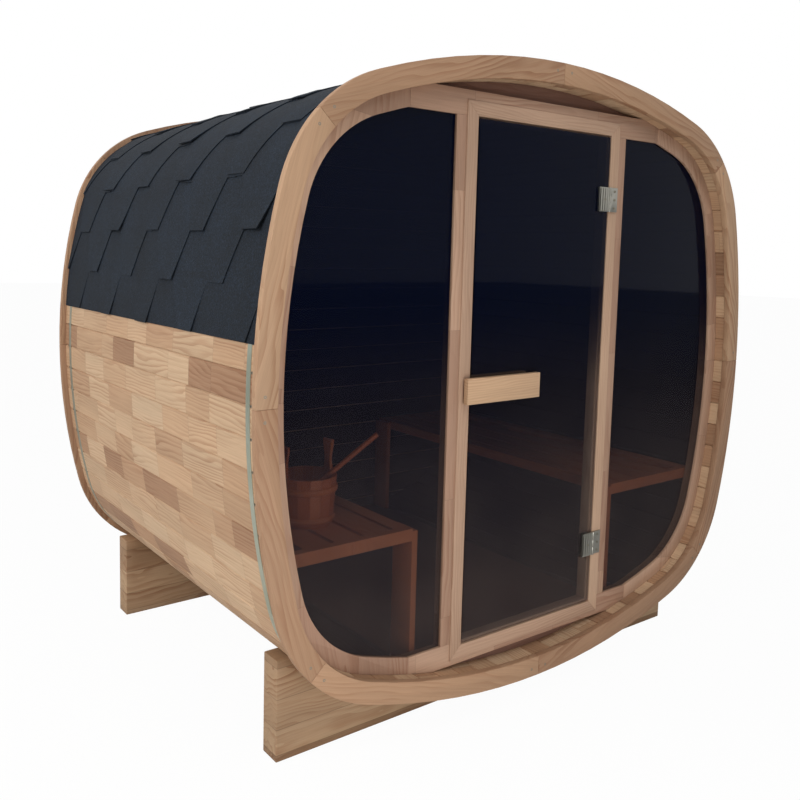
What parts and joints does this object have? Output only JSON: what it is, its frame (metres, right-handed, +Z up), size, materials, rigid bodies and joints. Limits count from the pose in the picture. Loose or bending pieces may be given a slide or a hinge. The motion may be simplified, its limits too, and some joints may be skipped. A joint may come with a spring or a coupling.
{
  "type": "sauna cabin",
  "caption": "Rounded-square barrel sauna cabin of timber staves with a shingled roof, an all-glass front with a hinged glass door, benches and bearers.",
  "frame": {"origin": "on the ground at the middle of the footprint, under the middle of the cabin", "axes": "+Z up, -Y towards the glass front and its door, +X to the right seen from the front"},
  "size_m": [2.12, 1.6, 2.03],
  "materials": {
    "stave_timber": "planed",
    "bitumen_shingles": "mineral granules",
    "ring_board_timber": "planed",
    "strap_steel": "brushed",
    "bearer_timber": "planed",
    "window_glass": "tinted",
    "door_glass": "tinted",
    "door_frame_timber": "planed",
    "hinge_steel": "satin",
    "handle_timber": "planed",
    "bench_timber": "planed",
    "floor_timber": "planed",
    "rear_wall_timber": "planed",
    "bucket_timber": "planed",
    "wall_frame_timber": "planed"
  },
  "bodies": {
    "cabin": {"front_bearer": "bearer_timber", "rear_bearer": "bearer_timber", "shell_bottom": "stave_timber", "shell_left": "stave_timber", "shell_right": "stave_timber", "shell_top": "stave_timber", "roof_left": "bitumen_shingles", "roof_right": "bitumen_shingles", "front_ring_top_left": "ring_board_timber", "front_ring_top_right": "ring_board_timber", "front_ring_left_upper": "ring_board_timber", "front_ring_right_upper": "ring_board_timber", "front_ring_left_lower": "ring_board_timber", "front_ring_right_lower": "ring_board_timber", "front_ring_bottom_left": "ring_board_timber", "front_ring_bottom_right": "ring_board_timber", "rear_ring_first_boards": "ring_board_timber", "rear_ring_second_boards": "ring_board_timber", "front_strap": "strap_steel", "rear_strap": "strap_steel", "front_header": "wall_frame_timber", "front_sill": "wall_frame_timber", "side_frame_left_upper": "wall_frame_timber", "side_frame_right_upper": "wall_frame_timber", "side_frame_left_lower": "wall_frame_timber", "side_frame_right_lower": "wall_frame_timber", "left_post": "wall_frame_timber", "right_post": "wall_frame_timber", "front_fillers": "wall_frame_timber", "door_frame_head": "door_frame_timber", "door_frame_sill": "door_frame_timber", "door_frame_left": "door_frame_timber", "door_frame_right": "door_frame_timber", "left_window": "window_glass", "right_window": "window_glass", "rear_wall": "rear_wall_timber", "floor": "floor_timber", "left_bench": "bench_timber", "right_bench": "bench_timber", "bucket": "bucket_timber", "ladle": "bucket_timber", "hinge_leaves": "hinge_steel"},
    "door": {"door_glass": "door_glass", "outside_handle": "handle_timber", "inside_handle": "handle_timber", "hinge_clamps": "hinge_steel"}
  },
  "joints": [
    {"name": "door_hinge", "type": "hinge", "parent": "cabin", "child": "door", "pos_m": [0.301, -0.755, 1.055], "axis": [0, 0, 1], "range_deg": [0, 105]}
  ]
}
